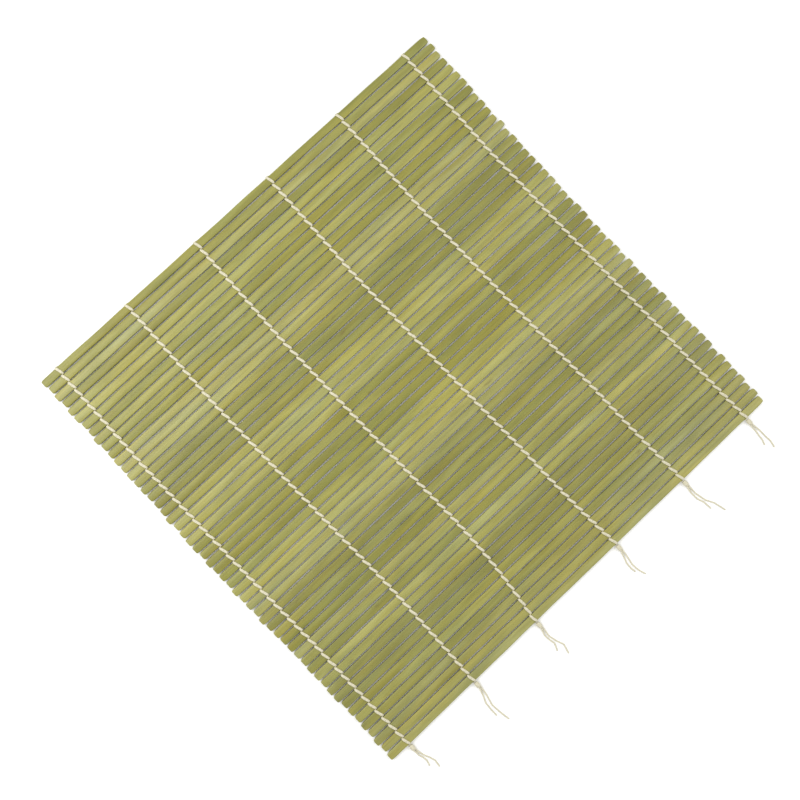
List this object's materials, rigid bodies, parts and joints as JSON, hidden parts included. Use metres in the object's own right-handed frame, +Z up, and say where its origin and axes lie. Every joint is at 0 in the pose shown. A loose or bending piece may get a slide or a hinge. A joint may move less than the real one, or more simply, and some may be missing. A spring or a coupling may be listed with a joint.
{
  "type": "sushi rolling mat",
  "caption": "Square kitchen rolling mat of flat green bamboo slats laid side by side and held in a row by lines of twined cotton thread, knotted along one edge.",
  "frame": {"origin": "on the table under the middle of the mat, halfway along and across its slats", "axes": "+X along the slats; +Y towards the plain edge, where the threads turn back round the first slat; +Z up, out of the smooth side"},
  "size_m": [0.2412, 0.2599, 0.003],
  "materials": {
    "bamboo_green": "satin",
    "bamboo_pale": "satin",
    "bamboo_dark": "satin",
    "bamboo_ochre": "satin",
    "cotton": "matte"
  },
  "bodies": {
    "slat_01": {"slat_01": "bamboo_ochre"},
    "slat_02": {"slat_02": "bamboo_green"},
    "slat_03": {"slat_03": "bamboo_pale"},
    "slat_04": {"slat_04": "bamboo_dark"},
    "slat_05": {"slat_05": "bamboo_green"},
    "slat_06": {"slat_06": "bamboo_green"},
    "slat_07": {"slat_07": "bamboo_green"},
    "slat_08": {"slat_08": "bamboo_pale"},
    "slat_09": {"slat_09": "bamboo_green"},
    "slat_10": {"slat_10": "bamboo_green"},
    "slat_11": {"slat_11": "bamboo_green"},
    "slat_12": {"slat_12": "bamboo_green"},
    "slat_13": {"slat_13": "bamboo_pale"},
    "slat_14": {"slat_14": "bamboo_green"},
    "slat_15": {"slat_15": "bamboo_green"},
    "slat_16": {"slat_16": "bamboo_dark"},
    "slat_17": {"slat_17": "bamboo_dark"},
    "slat_18": {"slat_18": "bamboo_green"},
    "slat_19": {"slat_19": "bamboo_green"},
    "slat_20": {"slat_20": "bamboo_green"},
    "slat_21": {"slat_21": "bamboo_green"},
    "slat_22": {"slat_22": "bamboo_green"},
    "slat_23": {"slat_23": "bamboo_green"},
    "slat_24": {"slat_24": "bamboo_dark"},
    "slat_25": {"slat_25": "bamboo_green"},
    "slat_26": {"slat_26": "bamboo_green"},
    "slat_27": {"slat_27": "bamboo_green", "thread_1": "cotton", "thread_2": "cotton", "thread_3": "cotton", "thread_4": "cotton", "thread_5": "cotton", "thread_6": "cotton"},
    "slat_28": {"slat_28": "bamboo_green"},
    "slat_29": {"slat_29": "bamboo_green"},
    "slat_30": {"slat_30": "bamboo_pale"},
    "slat_31": {"slat_31": "bamboo_green"},
    "slat_32": {"slat_32": "bamboo_green"},
    "slat_33": {"slat_33": "bamboo_green"},
    "slat_34": {"slat_34": "bamboo_green"},
    "slat_35": {"slat_35": "bamboo_green"},
    "slat_36": {"slat_36": "bamboo_green"},
    "slat_37": {"slat_37": "bamboo_green"},
    "slat_38": {"slat_38": "bamboo_dark"},
    "slat_39": {"slat_39": "bamboo_green"},
    "slat_40": {"slat_40": "bamboo_green"},
    "slat_41": {"slat_41": "bamboo_pale"},
    "slat_42": {"slat_42": "bamboo_green"},
    "slat_43": {"slat_43": "bamboo_green"},
    "slat_44": {"slat_44": "bamboo_dark"},
    "slat_45": {"slat_45": "bamboo_green"},
    "slat_46": {"slat_46": "bamboo_green"},
    "slat_47": {"slat_47": "bamboo_green"},
    "slat_48": {"slat_48": "bamboo_green"},
    "slat_49": {"slat_49": "bamboo_green"},
    "slat_50": {"slat_50": "bamboo_green"},
    "slat_51": {"slat_51": "bamboo_green"},
    "slat_52": {"slat_52": "bamboo_green"},
    "slat_53": {"slat_53": "bamboo_green", "knots_and_ends": "cotton"}
  },
  "joints": [
    {"name": "fold_01", "type": "hinge", "parent": "slat_02", "child": "slat_01", "pos_m": [0, 0.11322, 0.00132], "axis": [1, 0, 0], "range_deg": [0, 31], "deforming": ["thread_1", "thread_2", "thread_3", "thread_4", "thread_5", "thread_6"]},
    {"name": "fold_02", "type": "hinge", "parent": "slat_03", "child": "slat_02", "pos_m": [0, 0.10878, 0.00132], "axis": [1, 0, 0], "range_deg": [0, 29.9], "deforming": ["thread_1", "thread_2", "thread_3", "thread_4", "thread_5", "thread_6"]},
    {"name": "fold_03", "type": "hinge", "parent": "slat_04", "child": "slat_03", "pos_m": [0, 0.10434, 0.00132], "axis": [1, 0, 0], "range_deg": [0, 28.9], "deforming": ["thread_1", "thread_2", "thread_3", "thread_4", "thread_5", "thread_6"]},
    {"name": "fold_04", "type": "hinge", "parent": "slat_05", "child": "slat_04", "pos_m": [0, 0.0999, 0.00132], "axis": [1, 0, 0], "range_deg": [0, 28], "deforming": ["thread_1", "thread_2", "thread_3", "thread_4", "thread_5", "thread_6"]},
    {"name": "fold_05", "type": "hinge", "parent": "slat_06", "child": "slat_05", "pos_m": [0, 0.09546, 0.00132], "axis": [1, 0, 0], "range_deg": [0, 27.2], "deforming": ["thread_1", "thread_2", "thread_3", "thread_4", "thread_5", "thread_6"]},
    {"name": "fold_06", "type": "hinge", "parent": "slat_07", "child": "slat_06", "pos_m": [0, 0.09102, 0.00132], "axis": [1, 0, 0], "range_deg": [0, 26.4], "deforming": ["thread_1", "thread_2", "thread_3", "thread_4", "thread_5", "thread_6"]},
    {"name": "fold_07", "type": "hinge", "parent": "slat_08", "child": "slat_07", "pos_m": [0, 0.08658, 0.00132], "axis": [1, 0, 0], "range_deg": [0, 25.7], "deforming": ["thread_1", "thread_2", "thread_3", "thread_4", "thread_5", "thread_6"]},
    {"name": "fold_08", "type": "hinge", "parent": "slat_09", "child": "slat_08", "pos_m": [0, 0.08214, 0.00132], "axis": [1, 0, 0], "range_deg": [0, 25.1], "deforming": ["thread_1", "thread_2", "thread_3", "thread_4", "thread_5", "thread_6"]},
    {"name": "fold_09", "type": "hinge", "parent": "slat_10", "child": "slat_09", "pos_m": [0, 0.0777, 0.00132], "axis": [1, 0, 0], "range_deg": [0, 24.5], "deforming": ["thread_1", "thread_2", "thread_3", "thread_4", "thread_5", "thread_6"]},
    {"name": "fold_10", "type": "hinge", "parent": "slat_11", "child": "slat_10", "pos_m": [0, 0.07326, 0.00132], "axis": [1, 0, 0], "range_deg": [0, 23.9], "deforming": ["thread_1", "thread_2", "thread_3", "thread_4", "thread_5", "thread_6"]},
    {"name": "fold_11", "type": "hinge", "parent": "slat_12", "child": "slat_11", "pos_m": [0, 0.06882, 0.00132], "axis": [1, 0, 0], "range_deg": [0, 23.4], "deforming": ["thread_1", "thread_2", "thread_3", "thread_4", "thread_5", "thread_6"]},
    {"name": "fold_12", "type": "hinge", "parent": "slat_13", "child": "slat_12", "pos_m": [0, 0.06438, 0.00132], "axis": [1, 0, 0], "range_deg": [0, 22.9], "deforming": ["thread_1", "thread_2", "thread_3", "thread_4", "thread_5", "thread_6"]},
    {"name": "fold_13", "type": "hinge", "parent": "slat_14", "child": "slat_13", "pos_m": [0, 0.05994, 0.00132], "axis": [1, 0, 0], "range_deg": [0, 22.4], "deforming": ["thread_1", "thread_2", "thread_3", "thread_4", "thread_5", "thread_6"]},
    {"name": "fold_14", "type": "hinge", "parent": "slat_15", "child": "slat_14", "pos_m": [0, 0.0555, 0.00132], "axis": [1, 0, 0], "range_deg": [0, 22], "deforming": ["thread_1", "thread_2", "thread_3", "thread_4", "thread_5", "thread_6"]},
    {"name": "fold_15", "type": "hinge", "parent": "slat_16", "child": "slat_15", "pos_m": [0, 0.05106, 0.00132], "axis": [1, 0, 0], "range_deg": [0, 21.6], "deforming": ["thread_1", "thread_2", "thread_3", "thread_4", "thread_5", "thread_6"]},
    {"name": "fold_16", "type": "hinge", "parent": "slat_17", "child": "slat_16", "pos_m": [0, 0.04662, 0.00132], "axis": [1, 0, 0], "range_deg": [0, 21.2], "deforming": ["thread_1", "thread_2", "thread_3", "thread_4", "thread_5", "thread_6"]},
    {"name": "fold_17", "type": "hinge", "parent": "slat_18", "child": "slat_17", "pos_m": [0, 0.04218, 0.00132], "axis": [1, 0, 0], "range_deg": [0, 20.9], "deforming": ["thread_1", "thread_2", "thread_3", "thread_4", "thread_5", "thread_6"]},
    {"name": "fold_18", "type": "hinge", "parent": "slat_19", "child": "slat_18", "pos_m": [0, 0.03774, 0.00132], "axis": [1, 0, 0], "range_deg": [0, 20.5], "deforming": ["thread_1", "thread_2", "thread_3", "thread_4", "thread_5", "thread_6"]},
    {"name": "fold_19", "type": "hinge", "parent": "slat_20", "child": "slat_19", "pos_m": [0, 0.0333, 0.00132], "axis": [1, 0, 0], "range_deg": [0, 20.2], "deforming": ["thread_1", "thread_2", "thread_3", "thread_4", "thread_5", "thread_6"]},
    {"name": "fold_20", "type": "hinge", "parent": "slat_21", "child": "slat_20", "pos_m": [0, 0.02886, 0.00132], "axis": [1, 0, 0], "range_deg": [0, 19.9], "deforming": ["thread_1", "thread_2", "thread_3", "thread_4", "thread_5", "thread_6"]},
    {"name": "fold_21", "type": "hinge", "parent": "slat_22", "child": "slat_21", "pos_m": [0, 0.02442, 0.00132], "axis": [1, 0, 0], "range_deg": [0, 19.6], "deforming": ["thread_1", "thread_2", "thread_3", "thread_4", "thread_5", "thread_6"]},
    {"name": "fold_22", "type": "hinge", "parent": "slat_23", "child": "slat_22", "pos_m": [0, 0.01998, 0.00132], "axis": [1, 0, 0], "range_deg": [0, 19.3], "deforming": ["thread_1", "thread_2", "thread_3", "thread_4", "thread_5", "thread_6"]},
    {"name": "fold_23", "type": "hinge", "parent": "slat_24", "child": "slat_23", "pos_m": [0, 0.01554, 0.00132], "axis": [1, 0, 0], "range_deg": [0, 19], "deforming": ["thread_1", "thread_2", "thread_3", "thread_4", "thread_5", "thread_6"]},
    {"name": "fold_24", "type": "hinge", "parent": "slat_25", "child": "slat_24", "pos_m": [0, 0.0111, 0.00132], "axis": [1, 0, 0], "range_deg": [0, 18.7], "deforming": ["thread_1", "thread_2", "thread_3", "thread_4", "thread_5", "thread_6"]},
    {"name": "fold_25", "type": "hinge", "parent": "slat_26", "child": "slat_25", "pos_m": [0, 0.00666, 0.00132], "axis": [1, 0, 0], "range_deg": [0, 18.5], "deforming": ["thread_1", "thread_2", "thread_3", "thread_4", "thread_5", "thread_6"]},
    {"name": "fold_26", "type": "hinge", "parent": "slat_27", "child": "slat_26", "pos_m": [0, 0.00222, 0.00132], "axis": [1, 0, 0], "range_deg": [0, 18.2], "deforming": ["thread_1", "thread_2", "thread_3", "thread_4", "thread_5", "thread_6"]},
    {"name": "fold_27", "type": "hinge", "parent": "slat_28", "child": "slat_27", "pos_m": [0, -0.00222, 0.00132], "axis": [1, 0, 0], "range_deg": [0, 18], "deforming": ["thread_1", "thread_2", "thread_3", "thread_4", "thread_5", "thread_6"]},
    {"name": "fold_28", "type": "hinge", "parent": "slat_29", "child": "slat_28", "pos_m": [0, -0.00666, 0.00132], "axis": [1, 0, 0], "range_deg": [0, 17.8], "deforming": ["thread_1", "thread_2", "thread_3", "thread_4", "thread_5", "thread_6"]},
    {"name": "fold_29", "type": "hinge", "parent": "slat_30", "child": "slat_29", "pos_m": [0, -0.0111, 0.00132], "axis": [1, 0, 0], "range_deg": [0, 17.6], "deforming": ["thread_1", "thread_2", "thread_3", "thread_4", "thread_5", "thread_6"]},
    {"name": "fold_30", "type": "hinge", "parent": "slat_31", "child": "slat_30", "pos_m": [0, -0.01554, 0.00132], "axis": [1, 0, 0], "range_deg": [0, 17.4], "deforming": ["thread_1", "thread_2", "thread_3", "thread_4", "thread_5", "thread_6"]},
    {"name": "fold_31", "type": "hinge", "parent": "slat_32", "child": "slat_31", "pos_m": [0, -0.01998, 0.00132], "axis": [1, 0, 0], "range_deg": [0, 17.1], "deforming": ["thread_1", "thread_2", "thread_3", "thread_4", "thread_5", "thread_6"]},
    {"name": "fold_32", "type": "hinge", "parent": "slat_33", "child": "slat_32", "pos_m": [0, -0.02442, 0.00132], "axis": [1, 0, 0], "range_deg": [0, 17], "deforming": ["thread_1", "thread_2", "thread_3", "thread_4", "thread_5", "thread_6"]},
    {"name": "fold_33", "type": "hinge", "parent": "slat_34", "child": "slat_33", "pos_m": [0, -0.02886, 0.00132], "axis": [1, 0, 0], "range_deg": [0, 16.8], "deforming": ["thread_1", "thread_2", "thread_3", "thread_4", "thread_5", "thread_6"]},
    {"name": "fold_34", "type": "hinge", "parent": "slat_35", "child": "slat_34", "pos_m": [0, -0.0333, 0.00132], "axis": [1, 0, 0], "range_deg": [0, 16.6], "deforming": ["thread_1", "thread_2", "thread_3", "thread_4", "thread_5", "thread_6"]},
    {"name": "fold_35", "type": "hinge", "parent": "slat_36", "child": "slat_35", "pos_m": [0, -0.03774, 0.00132], "axis": [1, 0, 0], "range_deg": [0, 16.4], "deforming": ["thread_1", "thread_2", "thread_3", "thread_4", "thread_5", "thread_6"]},
    {"name": "fold_36", "type": "hinge", "parent": "slat_37", "child": "slat_36", "pos_m": [0, -0.04218, 0.00132], "axis": [1, 0, 0], "range_deg": [0, 16.2], "deforming": ["thread_1", "thread_2", "thread_3", "thread_4", "thread_5", "thread_6"]},
    {"name": "fold_37", "type": "hinge", "parent": "slat_38", "child": "slat_37", "pos_m": [0, -0.04662, 0.00132], "axis": [1, 0, 0], "range_deg": [0, 16.1], "deforming": ["thread_1", "thread_2", "thread_3", "thread_4", "thread_5", "thread_6"]},
    {"name": "fold_38", "type": "hinge", "parent": "slat_39", "child": "slat_38", "pos_m": [0, -0.05106, 0.00132], "axis": [1, 0, 0], "range_deg": [0, 15.9], "deforming": ["thread_1", "thread_2", "thread_3", "thread_4", "thread_5", "thread_6"]},
    {"name": "fold_39", "type": "hinge", "parent": "slat_40", "child": "slat_39", "pos_m": [0, -0.0555, 0.00132], "axis": [1, 0, 0], "range_deg": [0, 15.8], "deforming": ["thread_1", "thread_2", "thread_3", "thread_4", "thread_5", "thread_6"]},
    {"name": "fold_40", "type": "hinge", "parent": "slat_41", "child": "slat_40", "pos_m": [0, -0.05994, 0.00132], "axis": [1, 0, 0], "range_deg": [0, 15.6], "deforming": ["thread_1", "thread_2", "thread_3", "thread_4", "thread_5", "thread_6"]},
    {"name": "fold_41", "type": "hinge", "parent": "slat_42", "child": "slat_41", "pos_m": [0, -0.06438, 0.00132], "axis": [1, 0, 0], "range_deg": [0, 15.5], "deforming": ["thread_1", "thread_2", "thread_3", "thread_4", "thread_5", "thread_6"]},
    {"name": "fold_42", "type": "hinge", "parent": "slat_43", "child": "slat_42", "pos_m": [0, -0.06882, 0.00132], "axis": [1, 0, 0], "range_deg": [0, 15.3], "deforming": ["thread_1", "thread_2", "thread_3", "thread_4", "thread_5", "thread_6"]},
    {"name": "fold_43", "type": "hinge", "parent": "slat_44", "child": "slat_43", "pos_m": [0, -0.07326, 0.00132], "axis": [1, 0, 0], "range_deg": [0, 15.2], "deforming": ["thread_1", "thread_2", "thread_3", "thread_4", "thread_5", "thread_6"]},
    {"name": "fold_44", "type": "hinge", "parent": "slat_45", "child": "slat_44", "pos_m": [0, -0.0777, 0.00132], "axis": [1, 0, 0], "range_deg": [0, 15], "deforming": ["thread_1", "thread_2", "thread_3", "thread_4", "thread_5", "thread_6"]},
    {"name": "fold_45", "type": "hinge", "parent": "slat_46", "child": "slat_45", "pos_m": [0, -0.08214, 0.00132], "axis": [1, 0, 0], "range_deg": [0, 14.9], "deforming": ["thread_1", "thread_2", "thread_3", "thread_4", "thread_5", "thread_6"]},
    {"name": "fold_46", "type": "hinge", "parent": "slat_47", "child": "slat_46", "pos_m": [0, -0.08658, 0.00132], "axis": [1, 0, 0], "range_deg": [0, 14.8], "deforming": ["thread_1", "thread_2", "thread_3", "thread_4", "thread_5", "thread_6"]},
    {"name": "fold_47", "type": "hinge", "parent": "slat_48", "child": "slat_47", "pos_m": [0, -0.09102, 0.00132], "axis": [1, 0, 0], "range_deg": [0, 14.7], "deforming": ["thread_1", "thread_2", "thread_3", "thread_4", "thread_5", "thread_6"]},
    {"name": "fold_48", "type": "hinge", "parent": "slat_49", "child": "slat_48", "pos_m": [0, -0.09546, 0.00132], "axis": [1, 0, 0], "range_deg": [0, 14.5], "deforming": ["thread_1", "thread_2", "thread_3", "thread_4", "thread_5", "thread_6"]},
    {"name": "fold_49", "type": "hinge", "parent": "slat_50", "child": "slat_49", "pos_m": [0, -0.0999, 0.00132], "axis": [1, 0, 0], "range_deg": [0, 14.4], "deforming": ["thread_1", "thread_2", "thread_3", "thread_4", "thread_5", "thread_6"]},
    {"name": "fold_50", "type": "hinge", "parent": "slat_51", "child": "slat_50", "pos_m": [0, -0.10434, 0.00132], "axis": [1, 0, 0], "range_deg": [0, 14.3], "deforming": ["thread_1", "thread_2", "thread_3", "thread_4", "thread_5", "thread_6"]},
    {"name": "fold_51", "type": "hinge", "parent": "slat_52", "child": "slat_51", "pos_m": [0, -0.10878, 0.00132], "axis": [1, 0, 0], "range_deg": [0, 14.2], "deforming": ["thread_1", "thread_2", "thread_3", "thread_4", "thread_5", "thread_6"]},
    {"name": "fold_52", "type": "hinge", "parent": "slat_53", "child": "slat_52", "pos_m": [0, -0.11322, 0.00132], "axis": [1, 0, 0], "range_deg": [0, 14.1], "deforming": ["thread_1", "thread_2", "thread_3", "thread_4", "thread_5", "thread_6"]}
  ]
}
